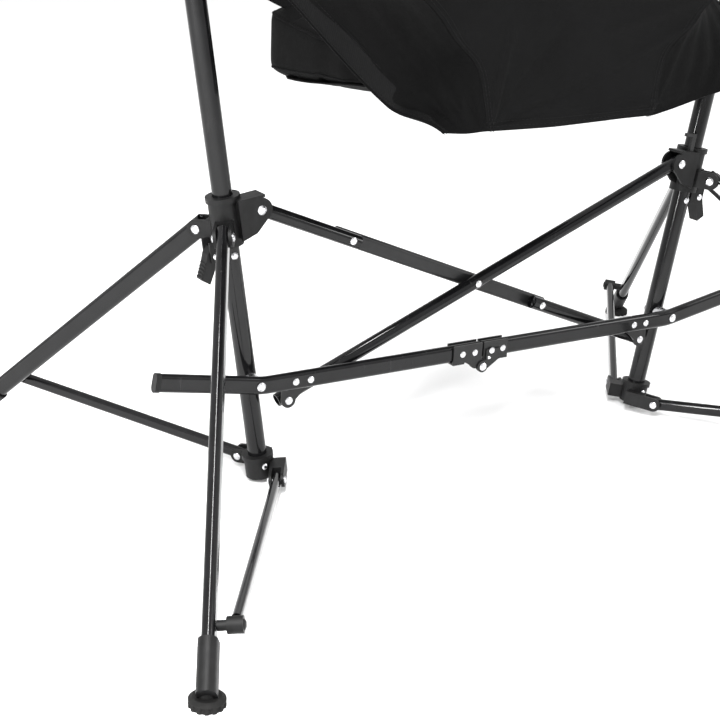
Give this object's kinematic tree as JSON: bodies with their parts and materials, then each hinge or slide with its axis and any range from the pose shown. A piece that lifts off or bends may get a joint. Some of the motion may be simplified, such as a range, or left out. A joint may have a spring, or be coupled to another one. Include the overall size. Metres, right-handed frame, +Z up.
{
  "type": "camp rocking chair",
  "caption": "Folding camp rocking chair: two leaning posts on folding legs, joined by a hinged crossbar and an X brace, with a seat hung from the post tops to swing.",
  "frame": {"origin": "centre of the footprint, on the ground", "axes": "+Z up, +Y the way the sitter faces, +X from the left post to the right post"},
  "size_m": [1.0978, 0.7582, 1.0555],
  "materials": {
    "tube_steel": "black powder coat, satin",
    "bracket_steel": "black powder coat on pressed steel",
    "moulded_plastic": "black moulded nylon",
    "rivet_steel": "bright zinc plated",
    "rubber": "black rubber",
    "fabric": "black woven polyester",
    "webbing": "black polyester webbing"
  },
  "bodies": {
    "left_post_body": {"left_post": "tube_steel", "left_hub": "moulded_plastic", "left_pivot_head": "moulded_plastic", "left_post_fasteners": "rivet_steel"},
    "left_collar_body": {"left_collar": "moulded_plastic", "left_collar_pins": "rivet_steel"},
    "left_lever_body": {"left_release_lever": "moulded_plastic"},
    "left_bar_body": {"left_crossbar": "tube_steel", "left_crossbar_cap": "moulded_plastic", "left_crossbar_brackets": "bracket_steel", "left_crossbar_fasteners": "rivet_steel"},
    "left_rear_leg_body": {"left_rear_leg": "tube_steel", "left_rear_shoe": "moulded_plastic", "left_rear_foot_pad": "rubber"},
    "left_rear_strut_body": {"left_rear_strut": "tube_steel", "left_rear_tee": "moulded_plastic"},
    "left_front_leg_body": {"left_front_leg": "tube_steel", "left_front_shoe": "moulded_plastic", "left_front_foot_pad": "rubber"},
    "left_front_strut_body": {"left_front_strut": "tube_steel", "left_front_tee": "moulded_plastic"},
    "left_swing_body": {"left_arm_tube": "tube_steel", "left_back_tube": "tube_steel", "left_hanger": "bracket_steel", "left_arm_pad": "fabric", "seat_cushion": "fabric", "side_wings": "fabric", "back_panel": "fabric", "seat_straps": "webbing"},
    "right_post_body": {"right_post": "tube_steel", "right_hub": "moulded_plastic", "right_pivot_head": "moulded_plastic", "right_post_fasteners": "rivet_steel"},
    "right_collar_body": {"right_collar": "moulded_plastic", "right_collar_pins": "rivet_steel", "collar_hook": "bracket_steel"},
    "right_lever_body": {"right_release_lever": "moulded_plastic"},
    "right_bar_body": {"right_crossbar": "tube_steel", "right_crossbar_cap": "moulded_plastic", "right_crossbar_brackets": "bracket_steel", "right_crossbar_fasteners": "rivet_steel"},
    "right_rear_leg_body": {"right_rear_leg": "tube_steel", "right_rear_shoe": "moulded_plastic", "right_rear_foot_pad": "rubber"},
    "right_rear_strut_body": {"right_rear_strut": "tube_steel", "right_rear_tee": "moulded_plastic"},
    "right_front_leg_body": {"right_front_leg": "tube_steel", "right_front_shoe": "moulded_plastic", "right_front_foot_pad": "rubber"},
    "right_front_strut_body": {"right_front_strut": "tube_steel", "right_front_tee": "moulded_plastic"},
    "right_swing_body": {"right_arm_tube": "tube_steel", "right_back_tube": "tube_steel", "right_hanger": "bracket_steel", "right_arm_pad": "fabric"},
    "left_brace_body": {"left_brace": "tube_steel", "left_brace_link": "tube_steel", "left_brace_rivets": "rivet_steel"},
    "right_brace_body": {"right_brace": "tube_steel", "crossing_rivet": "rivet_steel"}
  },
  "joints": [
    {"name": "frame_fold", "type": "hinge", "parent": "left_post_body", "child": "left_bar_body", "pos_m": [-0.29674, 0.01022, 0.13], "axis": [0, -1, 0], "range_deg": [0, 56.85], "deforming": ["seat_cushion", "side_wings", "back_panel", "seat_straps"]},
    {"name": "crossbar_hinge", "type": "hinge", "parent": "left_bar_body", "child": "right_bar_body", "pos_m": [0, 0.01022, 0.11], "axis": [0, 1, 0], "range_deg": [0, 99.2]},
    {"name": "right_post_fold", "type": "hinge", "parent": "right_bar_body", "child": "right_post_body", "pos_m": [0.29674, 0.01022, 0.13], "axis": [0, -1, 0], "range_deg": [0, 56.96]},
    {"name": "left_collar_slide", "type": "slide", "parent": "left_post_body", "child": "left_collar_body", "axis": [-0.1464, 0, 0.9892], "range_m": [0, 0.30087]},
    {"name": "left_brace_pivot", "type": "hinge", "parent": "left_collar_body", "child": "left_brace_body", "pos_m": [-0.29197, 0.02972, 0.3266], "axis": [0, 1, 0], "range_deg": [0, 24.95]},
    {"name": "left_rear_leg_pivot", "type": "hinge", "parent": "left_collar_body", "child": "left_rear_leg_body", "pos_m": [-0.33996, 0.01289, 0.30251], "axis": [0.8416, -0.5255, 0.1246], "range_deg": [0, 18.32]},
    {"name": "left_rear_strut_pivot", "type": "hinge", "parent": "left_post_body", "child": "left_rear_strut_body", "pos_m": [-0.27918, -0.0028, 0.01593], "axis": [-0.8416, 0.5255, -0.1246], "range_deg": [0, 31.07]},
    {"name": "left_front_leg_pivot", "type": "hinge", "parent": "left_collar_body", "child": "left_front_leg_body", "pos_m": [-0.34211, 0.06809, 0.3022], "axis": [-0.7983, -0.5906, -0.1181], "range_deg": [0, 25.18]},
    {"name": "left_front_strut_pivot", "type": "hinge", "parent": "left_post_body", "child": "left_front_strut_body", "pos_m": [-0.2826, 0.08515, 0.01542], "axis": [0.7983, 0.5906, 0.1181], "range_deg": [0, 41.26]},
    {"name": "left_lever_pivot", "type": "hinge", "parent": "left_collar_body", "child": "left_lever_body", "pos_m": [-0.33985, 0.04122, 0.27786], "axis": [0, 1, 0], "range_deg": [0, 16], "stiffness_Nm_per_rad": 0.4, "springref_deg": -11.46},
    {"name": "right_collar_slide", "type": "slide", "parent": "right_post_body", "child": "right_collar_body", "axis": [0.1464, 0, 0.9892], "range_m": [0, 0.30087]},
    {"name": "right_brace_pivot", "type": "hinge", "parent": "right_collar_body", "child": "right_brace_body", "pos_m": [0.29197, 0.02972, 0.3266], "axis": [0, -1, 0], "range_deg": [0, 24.95]},
    {"name": "right_rear_leg_pivot", "type": "hinge", "parent": "right_collar_body", "child": "right_rear_leg_body", "pos_m": [0.33996, 0.01289, 0.30251], "axis": [0.8416, 0.5255, -0.1246], "range_deg": [0, 18.32]},
    {"name": "right_rear_strut_pivot", "type": "hinge", "parent": "right_post_body", "child": "right_rear_strut_body", "pos_m": [0.27918, -0.0028, 0.01593], "axis": [-0.8416, -0.5255, 0.1246], "range_deg": [0, 31.07]},
    {"name": "right_front_leg_pivot", "type": "hinge", "parent": "right_collar_body", "child": "right_front_leg_body", "pos_m": [0.34211, 0.06809, 0.3022], "axis": [-0.7983, 0.5906, 0.1181], "range_deg": [0, 25.18]},
    {"name": "right_front_strut_pivot", "type": "hinge", "parent": "right_post_body", "child": "right_front_strut_body", "pos_m": [0.2826, 0.08515, 0.01542], "axis": [0.7983, -0.5906, -0.1181], "range_deg": [0, 41.26]},
    {"name": "right_lever_pivot", "type": "hinge", "parent": "right_collar_body", "child": "right_lever_body", "pos_m": [0.33985, 0.04122, 0.27786], "axis": [0, -1, 0], "range_deg": [0, 16], "stiffness_Nm_per_rad": 0.4, "springref_deg": -11.46},
    {"name": "seat_swing", "type": "hinge", "parent": "left_post_body", "child": "left_swing_body", "pos_m": [-0.39389, 0.04122, 0.78643], "axis": [1, 0, 0], "range_deg": [-16, 16]},
    {"name": "right_seat_swing", "type": "hinge", "parent": "right_post_body", "child": "right_swing_body", "pos_m": [0.39389, 0.04122, 0.78643], "axis": [1, 0, 0], "range_deg": [-16, 16]}
  ],
  "couplings": [
    {"joint": "crossbar_hinge", "follows": "frame_fold", "ratio": 1.7415},
    {"joint": "right_post_fold", "follows": "frame_fold", "ratio": 1},
    {"joint": "left_collar_slide", "follows": "frame_fold", "m_per_rad": 0.30265},
    {"joint": "left_brace_pivot", "follows": "frame_fold", "ratio": 0.43799},
    {"joint": "left_rear_leg_pivot", "follows": "frame_fold", "ratio": 0.32161},
    {"joint": "left_rear_strut_pivot", "follows": "frame_fold", "ratio": 0.54545},
    {"joint": "left_front_leg_pivot", "follows": "frame_fold", "ratio": 0.44207},
    {"joint": "left_front_strut_pivot", "follows": "frame_fold", "ratio": 0.72442},
    {"joint": "right_collar_slide", "follows": "frame_fold", "m_per_rad": 0.30265},
    {"joint": "right_brace_pivot", "follows": "frame_fold", "ratio": 0.43799},
    {"joint": "right_rear_leg_pivot", "follows": "frame_fold", "ratio": 0.32161},
    {"joint": "right_rear_strut_pivot", "follows": "frame_fold", "ratio": 0.54545},
    {"joint": "right_front_leg_pivot", "follows": "frame_fold", "ratio": 0.44207},
    {"joint": "right_front_strut_pivot", "follows": "frame_fold", "ratio": 0.72442},
    {"joint": "right_seat_swing", "follows": "seat_swing", "ratio": 1}
  ]
}
